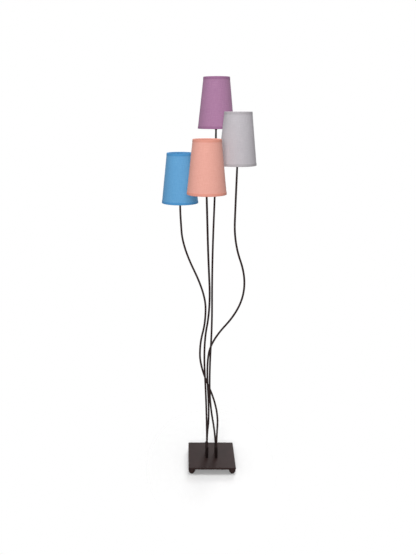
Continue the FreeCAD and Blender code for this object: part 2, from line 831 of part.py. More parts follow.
def bulb_cap(colour):
    """The bulb's screw cap with its contact at the bottom."""
    contact = "size.contact_diameter / 2"
    thread = "fit.cap_diameter / 2"
    corners = [
        ("0", "0"),
        (contact, "0"),
        (contact, "size.contact_height"),
        (thread, "size.contact_height + size.contact_slope"),
        (thread, "fit.cap_height"),
        ("0", "fit.cap_height"),
    ]
    return turned("bulb_cap_" + colour, corners)


def bulb_form(label, ball, throat):
    """A ball on a cone that runs into it at a tangent, from their two radii."""
    rise = "(size.bulb_height - size.bulb_diameter / 2)"
    lean = "(asin(%s / sqrt(%s^2 + %s^2)) - atan(%s / %s))" % (ball, rise, throat, throat, rise)
    cone = document.addObject("Part::Cone", label + "_cone")
    bind(cone, Radius1=throat, Radius2="%s * cos(%s)" % (ball, lean))
    bind(cone, Height="%s - %s * sin(%s)" % (rise, ball, lean))
    sphere = bind(document.addObject("Part::Sphere", label + "_sphere"), Radius=ball)
    lift(sphere, rise)
    form = document.addObject("Part::Fuse", label)
    form.Base, form.Tool = cone, sphere
    return form


def bulb_glass(colour):
    """The bulb's glass: a thin blown ball on a tapered neck, open into its cap."""
    label = "bulb_glass_" + colour
    ball, throat = "size.bulb_diameter / 2", "fit.bulb_neck / 2"
    outside = bulb_form(label + "_outside", "(%s)" % ball, "(%s)" % throat)
    thinner = "(%s - size.bulb_wall)"
    return cut(label, outside, bulb_form(label + "_inside", thinner % ball, thinner % throat))


def shade(colour):
    """A tapered drum of stiffened cloth, open at both ends, with a turned hem at each."""
    low, high = "size.shade_bottom / 2", "size.shade_top / 2"
    lean = "fit.shade_slope * size.hem_height"
    skin = " - size.hem_thick"
    inside = " - size.hem_thick - size.shade_wall"
    under_top = "size.shade_height - size.hem_height"
    corners = [
        (low + inside, "0"),
        (low, "0"),
        (low + " - " + lean, "size.hem_height"),
        (low + " - " + lean + skin, "size.hem_height"),
        (high + " + " + lean + skin, under_top),
        (high + " + " + lean, under_top),
        (high, "size.shade_height"),
        (high + inside, "size.shade_height"),
    ]
    return turned("shade_" + colour, corners)


FIRST_SPOKE = 90


def shade_frame(colour):
    """A wire ring in each hem, with a flat carrier held up by spokes from the lower one."""
    label = "shade_frame_" + colour
    wire = "size.wire_diameter / 2"
    rings = []
    for name, height in (("low", wire), ("high", "size.shade_height - " + wire)):
        ring = document.addObject("Part::Torus", "%s_%s_ring" % (label, name))
        bind(ring, Radius1="fit.%s_wire" % name, Radius2=wire)
        rings.append(lift(ring, height))
    disc = cylinder(label + "_disc", "fit.carrier_diameter / 2", "size.carrier_thick")
    hole = cylinder(label + "_hole", "fit.carrier_hole / 2", "size.carrier_thick")
    carrier = cut(label + "_carrier", disc, hole)
    carrier.Placement = place(0, 0, fit("carrier_rise"))
    hub_level = fit("carrier_rise") + size("carrier_thick") / 2
    spokes = []
    for i in range(int(size("spoke_count"))):
        turn = math.radians(FIRST_SPOKE + 360 * i / size("spoke_count"))
        out = FreeCAD.Vector(math.cos(turn), math.sin(turn), 0)
        start = out * (fit("carrier_diameter") / 2) + UP * hub_level
        run = out * fit("low_wire") + UP * (size("wire_diameter") / 2) - start
        spoke = document.addObject("Part::Cylinder", "%s_spoke_%d" % (label, i + 1))
        bind(spoke, Radius="size.spoke_diameter / 2").Height = run.Length
        spoke.Placement = FreeCAD.Placement(start, FreeCAD.Rotation(UP, run))
        spokes.append(spoke)
    spider = document.addObject("Part::MultiFuse", label + "_spider")
    spider.Shapes = [rings[0], carrier] + spokes
    return group(label, [spider, rings[1]])


def head_pieces(arm):
    """All that stands on one neck joint."""
    rises = [
        (neck, 0),
        (lampholder, size("neck_height")),
        (shade_ring, fit("ring_rise")),
        (bulb_cap, fit("lamp_rise")),
        (bulb_glass, fit("glass_rise")),
        (shade, size("shade_clear")),
        (shade_frame, size("shade_clear")),
    ]
    made = []
    for make, rise in rises:
        piece = make(arm.colour)
        piece.Placement = FreeCAD.Placement(arm.neck + UP * rise, FreeCAD.Rotation())
        made.append(piece)
    return made


# ---------------------------------------------------------------------- putting it together

parts = base_pieces() + socket_fasteners()
parts += [wiring_cover(), cover_screws(), terminal_block()]
parts += [earth_screw(), cord_gland(), gland_nut()]
arms = [Arm(colour) for colour in ARMS]
parts.append(group("leads_lower", [lower_lead(arm) for arm in arms]))
for arm in arms:
    parts.append(socket_collar("socket_" + arm.colour, *ARMS[arm.colour]["corner"]))
    parts += [lower_arm(arm), upper_arm(arm), upper_lead(arm)]
    parts += head_pieces(arm)
    for name, joint in (("bend", arm.bend), ("neck", arm.neck)):
        print("%s %s joint at %.1f, %.1f, %.1f" % (arm.colour, name, *joint))

document.recompute()
for thing in document.Objects:
    if "Invalid" in thing.State or "Error" in thing.State:
        raise ValueError("%s did not build: %s" % (thing.Name, thing.State))
for piece in parts:
    if piece.Shape.isNull() or not piece.Shape.isValid():
        raise ValueError("%s has no sound shape" % piece.Label)

os.makedirs("parts", exist_ok=True)
for piece in parts:
    piece.Shape.exportStep("parts/%s.step" % piece.Label)
    solids = len(piece.Shape.Solids)
    print("%-22s %d solid %9.0f mm3" % (piece.Label, solids, piece.Shape.Volume))
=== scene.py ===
import json
import math

import bmesh
import bpy
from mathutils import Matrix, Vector, noise


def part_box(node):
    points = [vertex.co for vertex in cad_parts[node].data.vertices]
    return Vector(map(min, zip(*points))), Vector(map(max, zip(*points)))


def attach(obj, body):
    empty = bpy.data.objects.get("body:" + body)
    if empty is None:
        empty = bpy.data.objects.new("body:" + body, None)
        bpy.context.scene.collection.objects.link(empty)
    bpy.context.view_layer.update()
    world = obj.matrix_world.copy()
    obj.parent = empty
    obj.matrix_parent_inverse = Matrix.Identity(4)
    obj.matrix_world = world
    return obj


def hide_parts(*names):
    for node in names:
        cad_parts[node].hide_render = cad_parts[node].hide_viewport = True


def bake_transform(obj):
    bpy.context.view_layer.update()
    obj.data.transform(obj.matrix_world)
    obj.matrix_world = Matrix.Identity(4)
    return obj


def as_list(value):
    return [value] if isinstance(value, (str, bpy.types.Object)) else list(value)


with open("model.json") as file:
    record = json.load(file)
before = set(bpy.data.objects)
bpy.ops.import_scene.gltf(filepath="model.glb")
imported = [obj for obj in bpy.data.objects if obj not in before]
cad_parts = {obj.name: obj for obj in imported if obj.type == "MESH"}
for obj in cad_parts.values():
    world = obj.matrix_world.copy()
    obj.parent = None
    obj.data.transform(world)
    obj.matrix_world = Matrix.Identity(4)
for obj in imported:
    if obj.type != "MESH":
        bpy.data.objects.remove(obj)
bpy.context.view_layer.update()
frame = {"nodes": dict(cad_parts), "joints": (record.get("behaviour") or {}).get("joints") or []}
nodes = frame["nodes"]

# ------------------------------------------------------------------------------ the view
# The photograph was taken from about 1.5 m up, looking down at the lamp, and cropped off
# the lens's axis. The lens and its shift are worked out from the photograph's pixels,
# along its taller side. Places are metres and angles are degrees.

PHOTO_HEIGHT = 555
FOCAL_PIXELS = 595
AXIS_LEFT_OF_MIDDLE = 20.3
SENSOR = 36
CAMERA_PLACE = (-0.1035, -2.298, 1.486)
CAMERA_DOWN = 15.72

lens = bpy.data.cameras.new("camera")
lens.sensor_width = SENSOR
lens.lens = SENSOR * FOCAL_PIXELS / PHOTO_HEIGHT
lens.shift_x = AXIS_LEFT_OF_MIDDLE / PHOTO_HEIGHT
camera = bpy.data.objects.new("camera", lens)
camera.location = CAMERA_PLACE
camera.rotation_euler = (math.radians(90 - CAMERA_DOWN), 0, 0)
bpy.context.scene.collection.objects.link(camera)
bpy.context.scene.camera = camera
bpy.context.scene.view_settings.view_transform = "Standard"


# ------------------------------------------------------------------- the light and floor
# Soft studio light in a pale room: a wide lamp behind the lens, a weak one at the left,
# one at the back and one above. The room shows as white to the lens, to gloss and through
# glass, and the floor keeps the soft shadow under the plate.

# Each lamp's place, what it is turned to, its width and its power in watts.
LAMPS = {
    "front_lamp": ((-0.4, -3.6, 2.0), (0, 0, 1.1), 1.4, 101),
    "side_lamp": ((-3.0, -0.9, 1.7), (0, 0, 1.0), 1.6, 8),
    "back_lamp": ((0.9, 3.3, 2.3), (0, 0, 1.1), 1.6, 60),
    "top_lamp": ((0.1, 0.1, 4.2), (0, 0, 0), 2.0, 86),
}
# The room is white where it is seen, at a strength of 1, and lights the object with less.
ROOM_LIGHT = 0.2


def linear(colour):
    """A colour written as sRGB hex, as the four numbers that a node takes."""
    parts = [int(colour[i : i + 2], 16) / 255 for i in (1, 3, 5)]
    return [p / 12.92 if p <= 0.04045 else ((p + 0.055) / 1.055) ** 2.4 for p in parts] + [1]


def add(tree, kind, inputs=(), **settings):
    """Adds a node with its settings, and fills its inputs with values or other outputs."""
    made = tree.nodes.new(kind)
    for name, value in settings.items():
        setattr(made, name, value)
    for socket, value in dict(inputs).items():
        if isinstance(value, bpy.types.NodeSocket):
            tree.links.new(value, made.inputs[socket])
        else:
            made.inputs[socket].default_value = value
    return made


def studio_lamp(name, place, aim, width, power):
    """A round soft lamp, turned from its place to its aim."""
    light = bpy.data.lights.new(name, "AREA")
    light.shape = "DISK"
    light.size = width
    light.energy = power
    lamp = bpy.data.objects.new(name, light)
    lamp.location = place
    lamp.rotation_euler = (Vector(aim) - Vector(place)).to_track_quat("-Z", "Y").to_euler()
    bpy.context.scene.collection.objects.link(lamp)


for name, lamp in LAMPS.items():
    studio_lamp(name, *lamp)

room = bpy.data.worlds.new("pale_room")
room.use_nodes = True
room.node_tree.nodes.clear()
path = add(room.node_tree, "ShaderNodeLightPath")
seen = path.outputs["Is Camera Ray"]
for ray in ("Is Glossy Ray", "Is Transmission Ray"):
    inputs = {0: seen, 1: path.outputs[ray]}
    seen = add(room.node_tree, "ShaderNodeMath", inputs, operation="MAXIMUM").outputs[0]
inputs = {"Value": seen, "To Min": ROOM_LIGHT, "To Max": 1}
strength = add(room.node_tree, "ShaderNodeMapRange", inputs)
inputs = {"Color": linear("#FFFFFF"), "Strength": strength.outputs[0]}
sky = add(room.node_tree, "ShaderNodeBackground", inputs)
add(room.node_tree, "ShaderNodeOutputWorld", {"Surface": sky.outputs[0]})
bpy.context.scene.world = room

# The paint gives way to the room's white between two distances from the plate's middle,
# in an oval that is longer from front to back.
FLOOR_REACH = 3.0
FLOOR_WHITE = "#F8F8F8"
FADE_SHAPE = (1, 0.6, 1)
FADE_START = 0.1
FADE_END = 0.34


def floor_paint():
    """White floor paint, matt and even, that fades out away from the lamp."""
    material = bpy.data.materials.new("matt_white_floor_paint")
    material.use_nodes = True
    tree = material.node_tree
    tree.nodes.clear()
    places = add(tree, "ShaderNodeTexCoord").outputs
    inputs = {0: places["Object"], 1: FADE_SHAPE}
    oval = add(tree, "ShaderNodeVectorMath", inputs, operation="MULTIPLY")
    away = add(tree, "ShaderNodeVectorMath", {0: oval.outputs[0]}, operation="LENGTH")
    inputs = {"Value": away.outputs["Value"], "From Min": FADE_START, "From Max": FADE_END}
    fade = add(tree, "ShaderNodeMapRange", inputs)
    paint = add(tree, "ShaderNodeBsdfDiffuse", {"Color": linear(FLOOR_WHITE)})
    clear = add(tree, "ShaderNodeBsdfTransparent")
    inputs = {0: fade.outputs[0], 1: paint.outputs[0], 2: clear.outputs[0]}
    both = add(tree, "ShaderNodeMixShader", inputs)
    add(tree, "ShaderNodeOutputMaterial", {"Surface": both.outputs[0]})
    return material


floor_mesh = bpy.data.meshes.new("studio_floor")
square = [(x * FLOOR_REACH, y * FLOOR_REACH, 0) for x, y in ((-1, -1), (1, -1), (1, 1), (-1, 1))]
floor_mesh.from_pydata(square, [], [(0, 1, 2, 3)])
floor_mesh.materials.append(floor_paint())
floor = bpy.data.objects.new("studio_floor", floor_mesh)
bpy.context.scene.collection.objects.link(floor)


# ------------------------------------------------------------------------ the base plate
# A square of 8 mm steel with its edges broken, powder coated in a dark brown satin. It
# carries four ball feet, the collars of the four arms and the wiring tray underneath.

MM = 0.001
COAT_CLOUD = 45 * MM
COAT_PEEL = 1.1 * MM
COAT_PEEL_DEPTH = 0.05 * MM
COAT_GLOSS = (0.5, 0.62)
# Noise seldom comes near 0 or 1, so a colour goes from dark to pale between these.
NOISE_ENDS = (0.3, 0.7)


def surface(name):
    """A new material with its nodes, its shader and the places on the piece."""
    material = bpy.data.materials.new(name)
    material.use_nodes = True
    tree = material.node_tree
    places = add(tree, "ShaderNodeTexCoord").outputs
    return material, tree, tree.nodes["Principled BSDF"], places


def speckle(tree, place, grain, detail=2):
    """Noise whose lumps are about one grain across, in metres."""
    return add(tree, "ShaderNodeTexNoise", {"Vector": place, "Scale": 1 / grain, "Detail": detail})


def shade_between(tree, amount, dark, pale):
    """A colour that goes from one to the other with an amount of noise."""
    ramp = add(tree, "ShaderNodeValToRGB", {"Fac": amount})
    for stop, position, colour in zip(ramp.color_ramp.elements, NOISE_ENDS, (dark, pale)):
        stop.position = position
        stop.color = linear(colour)
    return ramp.outputs["Color"]


def grained(name, tones, cloud, detail, grain, gloss, depth, strength):
    """A material with clouds in its colour, and a fine grain in its gloss and its relief."""
    material, tree, shader, places = surface(name)
    clouds = speckle(tree, places["Object"], cloud, detail).outputs["Fac"]
    grains = speckle(tree, places["Object"], grain).outputs["Fac"]
    inputs = {"Value": grains, "To Min": gloss[0], "To Max": gloss[1]}
    rough = add(tree, "ShaderNodeMapRange", inputs)
    inputs = {"Height": grains, "Strength": strength, "Distance": depth}
    bump = add(tree, "ShaderNodeBump", inputs)
    tree.links.new(shade_between(tree, clouds, *tones), shader.inputs["Base Color"])
    tree.links.new(rough.outputs["Result"], shader.inputs["Roughness"])
    tree.links.new(bump.outputs["Normal"], shader.inputs["Normal"])
    return material, shader


def satin_powder_coat(name, dark, pale):
    """Polyester powder baked on steel: fine orange peel, a low even sheen, faint clouds."""
    material, shader = grained(
        name, (dark, pale), cloud=COAT_CLOUD, detail=3, grain=COAT_PEEL, gloss=COAT_GLOSS,
        depth=COAT_PEEL_DEPTH, strength=0.25,
    )
    shader.inputs["Specular IOR Level"].default_value = 0.1
    return material


def finish(name, material):
    """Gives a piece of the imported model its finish."""
    for slot in nodes[name].material_slots:
        slot.material = material


brown_coat = satin_powder_coat("brown_satin_powder_coat", "#261A19", "#2E201F")
finish("base_plate", brown_coat)


# ------------------------------------------------------------------------------ the feet
# Steel balls of 27 mm, turned with a flat above and below, coated with the plate and
# screwed to it on plated studs. A thin round plastic glide is set under each.

METAL_CLOUD = 3 * MM
METAL_GLOSS = (0.24, 0.4)
PLASTIC_CLOUD = 12 * MM
PLASTIC_GRAIN_DEPTH = 0.03 * MM


def bare_metal(name, dark, pale):
    """Plated or rolled metal, a little cloudy in its colour and in its gloss."""
    material, tree, shader, places = surface(name)
    clouds = speckle(tree, places["Object"], METAL_CLOUD, detail=4).outputs["Fac"]
    inputs = {"Value": clouds, "To Min": METAL_GLOSS[0], "To Max": METAL_GLOSS[1]}
    rough = add(tree, "ShaderNodeMapRange", inputs)
    tree.links.new(shade_between(tree, clouds, dark, pale), shader.inputs["Base Color"])
    tree.links.new(rough.outputs["Result"], shader.inputs["Roughness"])
    shader.inputs["Metallic"].default_value = 1
    return material


def moulded(name, dark, pale, gloss_low, gloss_high, grain):
    """A moulded plastic: an even colour, and the fine grain of the mould in its gloss."""
    return grained(
        name, (dark, pale), cloud=PLASTIC_CLOUD, detail=2, grain=grain,
        gloss=(gloss_low, gloss_high), depth=PLASTIC_GRAIN_DEPTH, strength=0.2,
    )[0]


zinc = bare_metal("bright_zinc_plate", "#9DA0A5", "#B4B7BA")
black_polyamide = moulded("black_moulded_polyamide", "#191717", "#211F1F", 0.45, 0.6, 0.6 * MM)
for side in ("front_left", "front_right", "back_left", "back_right"):
    finish("foot_" + side, brown_coat)
finish("foot_studs", zinc)
finish("foot_glides", black_polyamide)


# --------------------------------------------------------------------------- the sockets
# Turned steel collars, coated like the plate, with their brown painted near-black as
# painted shade for the shadow on and between the four close collars. Their threaded spigots
# pass down through the plate and are held from below by plated washers and thin nuts.

COLOURS = ("blue", "salmon", "purple", "grey")

# Painted shade: the plate's coat made near-black, standing in for the shadow between the collars.
collar_shade_coat = satin_powder_coat("dark_satin_powder_coat", "#130C0B", "#1B1110")
for colour in COLOURS:
    finish("socket_" + colour, collar_shade_coat)
finish("arm_nuts", zinc)
finish("arm_washers", zinc)


# ----------------------------------------------------------------------- the wiring tray
# A folded steel tray, coated with the plate, closes the wiring space. It has a moulded
# terminal block, an earth screw and, at the back, the gland that a cord would pass.

white_polyamide = moulded("white_moulded_polyamide", "#E4E1D6", "#ECE9E0", 0.4, 0.5, 0.8 * MM)
finish("wiring_cover", brown_coat)
finish("terminal_block", white_polyamide)
finish("earth_screw", zinc)
finish("cord_gland", black_polyamide)
finish("gland_nut", zinc)


# ---------------------------------------------------------------------- the tray's screws
# Four steel screws with countersunk heads and a cross recess, coated like the tray. They
# hold it up against the plate, one at each corner.

SCREW_HEAD = 7 * MM
SCREW_SHANK = 3.5 * MM
# One bar of the cross: its length, its width, and twice its depth, half of it in the air.
RECESS = (4.2 * MM, 0.9 * MM, 2.6 * MM)
TURNED_STEPS = 48
MERGE_WITHIN = 1e-6
SHARP_TURN = 35


def new_piece(name, mesh, material):
    """A smooth piece whose edges stay crisp where they turn sharply."""
    mesh.materials.clear()
    mesh.materials.append(material)
    mesh.shade_smooth()
    mesh.set_sharp_from_angle(angle=math.radians(SHARP_TURN))
    piece = bpy.data.objects.new(name, mesh)
    bpy.context.scene.collection.objects.link(piece)
    return piece


def turned(name, outline):
    """A closed mesh turned about Z from an outline of radius and height."""
    count = len(outline)
    points = []
    faces = []
    for i in range(TURNED_STEPS):
        angle = math.tau * i / TURNED_STEPS
        points += [(r * math.cos(angle), r * math.sin(angle), z) for r, z in outline]
        ahead = (i + 1) % TURNED_STEPS
        for j in range(count):
            up = (j + 1) % count
            faces.append((i * count + j, ahead * count + j, ahead * count + up, i * count + up))
    mesh = bpy.data.meshes.new(name)
    mesh.from_pydata(points, [], faces)
    shape = bmesh.new()
    shape.from_mesh(mesh)
    bmesh.ops.remove_doubles(shape, verts=shape.verts, dist=MERGE_WITHIN)
    bmesh.ops.recalc_face_normals(shape, faces=shape.faces)
    shape.to_mesh(mesh)
    shape.free()
    return mesh


def new_tree(name, sizes):
    """A geometry tree with a named input for each of its sizes, and its two ends."""
    tree = bpy.data.node_groups.new(name, "GeometryNodeTree")
    tree.interface.new_socket("Geometry", in_out="INPUT", socket_type="NodeSocketGeometry")
    tree.interface.new_socket("Geometry", in_out="OUTPUT", socket_type="NodeSocketGeometry")
    for label, kind in sizes.items():
        tree.interface.new_socket(label, in_out="INPUT", socket_type="NodeSocket" + kind)
    return tree, add(tree, "NodeGroupInput").outputs


def end_tree(tree, shape, material):
    """Ends a tree in real geometry with its finish on it."""
    real = add(tree, "GeometryNodeRealizeInstances", {"Geometry": shape})
    done = add(tree, "GeometryNodeSetMaterial", {"Geometry": real.outputs[0], "Material": material})
    add(tree, "NodeGroupOutput", {"Geometry": done.outputs[0]})
    return tree


def grown(name, tree, base, material, **sizes):
    """Runs a tree over a mesh or a curve and keeps the plain mesh that it makes."""
    carrier = bpy.data.objects.new(name + "_base", base)
    bpy.context.scene.collection.objects.link(carrier)
    modifier = carrier.modifiers.new(tree.name, "NODES")
    modifier.node_group = tree
    for item in tree.interface.items_tree:
        if item.in_out == "INPUT" and item.name in sizes:
            modifier[item.identifier] = sizes[item.name]
        elif item.in_out == "INPUT" and item.name == "Finish":
            modifier[item.identifier] = material
    ready = carrier.evaluated_get(bpy.context.evaluated_depsgraph_get())
    mesh = bpy.data.meshes.new_from_object(ready)
    bpy.data.objects.remove(carrier)
    return new_piece(name, mesh, material)


def screw_set():
    """Cuts a cross recess into a screw and puts a copy at each point."""
    sizes = {"Screw": "Object", "Recess": "Vector", "Finish": "Material"}
    tree, given = new_tree("cross_recess_screws", sizes)
    screw = add(tree, "GeometryNodeObjectInfo", {"Object": given["Screw"]})
    bar = add(tree, "GeometryNodeMeshCube", {"Size": given["Recess"]})
    inputs = {"Geometry": bar.outputs["Mesh"], "Rotation": (0, 0, math.pi / 2)}
    other = add(tree, "GeometryNodeTransform", inputs)
    inputs = {"Mesh 1": screw.outputs["Geometry"], "Mesh 2": bar.outputs["Mesh"]}
    once = add(tree, "GeometryNodeMeshBoolean", inputs, solver="EXACT")
    inputs = {"Mesh 1": once.outputs["Mesh"], "Mesh 2": other.outputs["Geometry"]}
    twice = add(tree, "GeometryNodeMeshBoolean", inputs, solver="EXACT")
    inputs = {"Points": given["Geometry"], "Instance": twice.outputs["Mesh"]}
    copies = add(tree, "GeometryNodeInstanceOnPoints", inputs)
    return end_tree(tree, copies.outputs[0], given["Finish"])


low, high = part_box("cover_screws")
cone = (SCREW_HEAD - SCREW_SHANK) / 2
length = high.z - low.z
outline = [(0, 0), (SCREW_HEAD / 2, 0), (SCREW_SHANK / 2, cone), (SCREW_SHANK / 2, length),
           (0, length)]
screw = new_piece("one_cover_screw", turned("one_cover_screw", outline), brown_coat)
across = high.x - SCREW_HEAD / 2
spots = bpy.data.meshes.new("screw_spots")
spots.from_pydata([(x * across, y * across, low.z) for x in (-1, 1) for y in (-1, 1)], [], [])
screws = grown("cover_screws_cross", screw_set(), spots, brown_coat, Screw=screw, Recess=RECESS)
bpy.data.objects.remove(screw)
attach(screws, "root")
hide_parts("cover_screws")


# ------------------------------------------------------------------ the arms and the leads
# Steel tube of 8 mm, bent by hand into an easy line and coated with the plate. Each runs
# from its collar up to the ferrule under its shade, with a sheathed lead inside it.

ARM = 8 * MM
ARM_WALL = 1.4 * MM
LEAD = 4.2 * MM
TUBE_STEP = 6 * MM
TUBE_SIDES = 24
LEAD_SIDES = 12
LINE_ORDER = 3
LINE_STEPS = 24
# A tube's end is swaged a little where it enters the ferrule, this far past the joint.
END_PAST = 2.6 * MM
END_SWAGE = 0.85
# The points of each route, right, back and up: the low ones from the arm's own spot on
# the plate's top, the high ones from the joint at its ferrule.
ROUTES = {
    "blue": {
        "low": [(0, 0, 76), (7, -4, 236), (-72, -7, 428), (-74, 2, 529), (-50, 20, 617)],
        "high": [(103, -70, -355), (10, -20, -170), (1, -3, -45)],
    },
    "salmon": {
        "low": [(0, 0, 76), (-5, 11, 267), (-19, 8, 522), (8, -14, 689)],
        "high": [(8, 18, -221), (3, 4, -81)],
    },
    "purple": {
        "low": [(0, 0, 70), (-29, -3, 240), (-31, -2, 407), (-22, 14, 587)],
        "high": [(-13, -98, -607), (-10, -60, -447), (-1, -15, -217), (0, -1, -87)],
    },
    "grey": {
        "low": [(0, 0, 76), (10, -11, 190), (-5, -16, 422), (14, -14, 532), (128, -18, 667)],
        "high": [(48, 1, -442), (-6, -2, -292), (-3, -2, -127)],
    },
}
joints = {joint["name"]: Vector(joint["pos_m"]) for joint in frame["joints"]}


def tube_along():
    """Carries a ring along a route at even steps, narrowed where the route says."""
    sizes = {"Radius": "Float", "Step": "Float", "Sides": "Int", "Capped": "Bool",
             "Finish": "Material"}
    tree, given = new_tree("tube_along_a_route", sizes)
    inputs = {"Curve": given["Geometry"], "Length": given["Step"]}
    even = add(tree, "GeometryNodeResampleCurve", inputs, mode="LENGTH")
    inputs = {"Resolution": given["Sides"], "Radius": given["Radius"]}
    ring = add(tree, "GeometryNodeCurvePrimitiveCircle", inputs)
    narrow = add(tree, "GeometryNodeInputRadius")
    inputs = {"Curve": even.outputs["Curve"], "Profile Curve": ring.outputs["Curve"],
              "Scale": narrow.outputs["Radius"], "Fill Caps": given["Capped"]}
    tube = add(tree, "GeometryNodeCurveToMesh", inputs)
    return end_tree(tree, tube.outputs["Mesh"], given["Finish"])


def route_line(name, points, last_width):
    """A smooth line along a route, as wide as its tube except where its end is narrowed."""
    line = bpy.data.curves.new(name, "CURVE")
    line.dimensions = "3D"
    spline = line.splines.new("NURBS")
    spline.points.add(len(points) - 1)
    for control, point in zip(spline.points, points):
        control.co = (*point, 1)
        control.radius = 1
    spline.points[-1].radius = last_width
    spline.order_u = LINE_ORDER
    spline.use_endpoint_u = True
    spline.resolution_u = LINE_STEPS
    return line


def hollowed(piece, wall):
    """Gives an open tube its wall, inwards, with closed rims at its ends."""
    solid = piece.modifiers.new("wall", "SOLIDIFY")
    solid.thickness = wall
    solid.offset = -1
    ready = piece.evaluated_get(bpy.context.evaluated_depsgraph_get())
    mesh = bpy.data.meshes.new_from_object(ready)
    name, material = piece.name, piece.data.materials[0]
    bpy.data.objects.remove(piece)
    return new_piece(name, mesh, material)


tube_tree = tube_along()
sheath = moulded("black_soft_pvc_sheath", "#242020", "#2E2928", 0.4, 0.5, 1.5 * MM)
plate_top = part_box("base_plate")[1].z
block_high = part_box("terminal_block")[1]
lead_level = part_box("leads_lower")[0].z + LEAD / 2
for colour in COLOURS:
    bend, tilt = joints[colour + "_arm_bend"], joints[colour + "_shade_tilt"]
    low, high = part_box("socket_" + colour)
    spot = Vector(((low.x + high.x) / 2, (low.y + high.y) / 2, plate_top))
    seat = Vector((spot.x, spot.y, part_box("arm_lower_" + colour)[0].z))
    rising = [spot + Vector(step) * MM for step in ROUTES[colour]["low"]]
    falling = [tilt + Vector(step) * MM for step in ROUTES[colour]["high"]]
    seam = (falling[0] + falling[1]) / 2
    top = tilt + Vector((0, 0, END_PAST))
    block_edge = math.copysign(block_high.y / 2, spot.y)
    wired = [Vector((spot.x, block_edge, lead_level)), Vector((spot.x, spot.y, lead_level))]
    # Each length: its points, the width of its end and the node that it stands for.
    lengths = [
        ("arm_tube_low_", [seat] + rising + [falling[0], seam], 1, "arm_lower_" + colour),
        ("arm_tube_high_", [seam] + falling[1:] + [tilt, top], END_SWAGE, "arm_upper_" + colour),
        ("lead_low_", wired + [seat] + rising + [falling[0], seam], 1, "leads_lower"),
        ("lead_high_", [seam] + falling[1:] + [tilt, top], 1, "lead_upper_" + colour),
    ]
    for label, points, end_width, stands_for in lengths:
        is_arm = label.startswith("arm")
        line = route_line(label + colour, points, end_width)
        width, sides = (ARM, TUBE_SIDES) if is_arm else (LEAD, LEAD_SIDES)
        piece = grown(label + colour, tube_tree, line, brown_coat if is_arm else sheath,
                      Radius=width / 2, Step=TUBE_STEP, Sides=sides, Capped=not is_arm)
        if is_arm:
            piece = hollowed(piece, ARM_WALL)
        if "low" in label:
            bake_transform(piece)
        else:
            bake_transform(piece)
        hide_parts(stands_for)
    finish("neck_" + colour, brown_coat)


# ---------------------------------------------------------------------- the lampholders
# A white moulded lampholder stands on each ferrule. Its barrel has grip ribs, its upper
# half a thread, and a ring nut on that thread clamps the shade's carrier down.

# How wide the ribbed parts are, how far above its own foot each has its ribs, and how
# many ribs go round it. A rib is half sunk in its part, and RIB is its radius.
BARREL = 25 * MM
BARREL_RIBS = (10 * MM, 29 * MM)
BARREL_RIB_COUNT = 40
RING_COLLAR = 32 * MM
RING_RIBS = (3.4 * MM, 7.6 * MM)
RING_RIB_COUNT = 36
RIB = 0.5 * MM
RIB_SIDES = 10
HOLDER_THREAD = 28 * MM
THREAD_PITCH = 2 * MM
THREAD_RIDGE = 0.45 * MM
THREAD_STEPS = 48
RIDGE_SIDES = 8
OPAL_CLOUD = 18 * MM
OPAL_DEPTH = 4 * MM

holder_white = moulded("white_moulded_thermoset", "#E9E6DE", "#F1EFE8", 0.22, 0.3, 1 * MM)
aluminium = bare_metal("rolled_aluminium", "#B4B6B8", "#CBCDCF")


def ribs_round():
    """Rounded upright ribs at even steps round a barrel."""
    sizes = {"Middle": "Vector", "Radius": "Float", "Rib": "Float", "Length": "Float",
             "Count": "Int", "Finish": "Material"}
    tree, given = new_tree("ribs_round_a_barrel", sizes)
    inputs = {"Vertices": given["Count"], "Radius": given["Radius"]}
    circle = add(tree, "GeometryNodeMeshCircle", inputs)
    inputs = {"Vertices": RIB_SIDES, "Radius": given["Rib"], "Depth": given["Length"]}
    rib = add(tree, "GeometryNodeMeshCylinder", inputs)
    inputs = {"Points": circle.outputs["Mesh"], "Instance": rib.outputs["Mesh"]}
    copies = add(tree, "GeometryNodeInstanceOnPoints", inputs)
    inputs = {"Geometry": copies.outputs[0], "Translation": given["Middle"]}
    placed = add(tree, "GeometryNodeTransform", inputs)
    return end_tree(tree, placed.outputs[0], given["Finish"])


def thread_round():
    """A round ridge wound up a stem, one turn to each pitch."""
    sizes = {"Start": "Vector", "Radius": "Float", "Turns": "Float", "Rise": "Float",
             "Ridge": "Float", "Finish": "Material"}
    tree, given = new_tree("thread_round_a_stem", sizes)
    inputs = {"Resolution": THREAD_STEPS, "Rotations": given["Turns"], "Height": given["Rise"],
              "Start Radius": given["Radius"], "End Radius": given["Radius"]}
    helix = add(tree, "GeometryNodeCurveSpiral", inputs)
    inputs = {"Resolution": RIDGE_SIDES, "Radius": given["Ridge"]}
    ridge = add(tree, "GeometryNodeCurvePrimitiveCircle", inputs)
    inputs = {"Curve": helix.outputs["Curve"], "Profile Curve": ridge.outputs["Curve"],
              "Fill Caps": True}
    wound = add(tree, "GeometryNodeCurveToMesh", inputs)
    inputs = {"Geometry": wound.outputs["Mesh"], "Translation": given["Start"]}
    placed = add(tree, "GeometryNodeTransform", inputs)
    return end_tree(tree, placed.outputs[0], given["Finish"])


def opal_glass():
    """Blown glass with a white flashed layer: milky and even, with a hard clear gloss."""
    material, tree, shader, places = surface("flashed_opal_glass")
    milk = speckle(tree, places["Object"], OPAL_CLOUD).outputs["Fac"]
    tree.links.new(shade_between(tree, milk, "#EFECE4", "#F6F4EE"), shader.inputs["Base Color"])
    shader.inputs["Roughness"].default_value = 0.1
    shader.inputs["Subsurface Weight"].default_value = 0.25
    shader.inputs["Subsurface Scale"].default_value = OPAL_DEPTH
    return material


